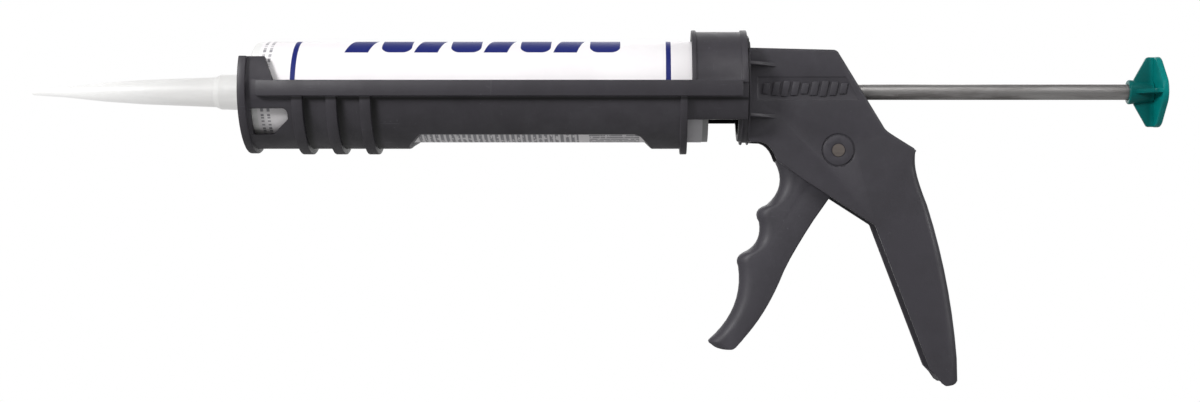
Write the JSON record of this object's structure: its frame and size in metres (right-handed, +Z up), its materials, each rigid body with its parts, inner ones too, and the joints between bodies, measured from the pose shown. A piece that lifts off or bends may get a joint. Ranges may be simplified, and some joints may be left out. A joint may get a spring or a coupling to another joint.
{
  "type": "caulking gun",
  "caption": "Skeleton caulking gun with a swivelling open cradle holding a cartridge and nozzle, a sprung trigger, a thumb release and a push rod with a pull knob.",
  "frame": {"origin": "centre of the nozzle's outlet, on the barrel axis", "axes": "+X along the barrel axis from the nozzle to the pull knob, +Z up away from the grip, +Y to the left seen from behind the knob"},
  "size_m": [0.5444, 0.0622, 0.1706],
  "materials": {
    "handle_body": "fine satin grain",
    "trigger_pin": "dull",
    "trigger_pin_clip": "zinc plated",
    "trigger": "fine satin grain",
    "drive_plate_front": "oiled",
    "drive_plate_rear": "oiled",
    "spring_washer": "zinc plated",
    "return_spring": "bright wire",
    "brake_plate": "oiled",
    "brake_spring": "bright wire",
    "push_rod": "drawn and lightly scratched",
    "pusher_disc": "zinc plated",
    "pusher_washer": "zinc plated",
    "pusher_nut": "zinc plated",
    "pull_knob": "satin",
    "cradle": "fine satin grain",
    "cartridge_tube": "satin",
    "cartridge_label": "printed film",
    "cartridge_plunger": "waxy",
    "cartridge_nozzle": "waxy and slightly translucent"
  },
  "bodies": {
    "handle": {"handle_body": "handle_body", "trigger_pin": "trigger_pin", "trigger_pin_clip": "trigger_pin_clip", "brake_spring": "brake_spring"},
    "trigger": {"trigger": "trigger"},
    "drive": {"drive_plate_front": "drive_plate_front", "drive_plate_rear": "drive_plate_rear", "spring_washer": "spring_washer", "return_spring": "return_spring"},
    "brake": {"brake_plate": "brake_plate"},
    "rod": {"push_rod": "push_rod", "pusher_disc": "pusher_disc", "pusher_washer": "pusher_washer", "pusher_nut": "pusher_nut", "pull_knob": "pull_knob"},
    "cradle": {"cradle": "cradle", "cartridge_tube": "cartridge_tube", "cartridge_label": "cartridge_label", "cartridge_plunger": "cartridge_plunger", "cartridge_nozzle": "cartridge_nozzle"}
  },
  "joints": [
    {"name": "trigger_pull", "type": "hinge", "parent": "handle", "child": "trigger", "pos_m": [0.3879, 0, -0.0284], "axis": [0, -1, 0], "range_deg": [0, 34], "stiffness_Nm_per_rad": 0.8, "springref_deg": -20.05},
    {"name": "drive_slide", "type": "slide", "parent": "handle", "child": "drive", "axis": [-1, 0, 0], "range_m": [0, 0.0113], "deforming": ["return_spring"]},
    {"name": "brake_release", "type": "hinge", "parent": "handle", "child": "brake", "pos_m": [0.389, 0, 0.00775], "axis": [0, 1, 0], "range_deg": [0, 4], "stiffness_Nm_per_rad": 0.2, "springref_deg": -8.59, "deforming": ["brake_spring"]},
    {"name": "rod_slide", "type": "slide", "parent": "handle", "child": "rod", "axis": [-1, 0, 0], "range_m": [-0.078, 0.124]},
    {"name": "cradle_swivel", "type": "hinge", "parent": "handle", "child": "cradle", "pos_m": [0.3412, 0, 0.0008], "axis": [1, 0, 0], "continuous": true}
  ],
  "couplings": [
    {"joint": "drive_slide", "follows": "trigger_pull", "m_per_rad": 0.019}
  ]
}
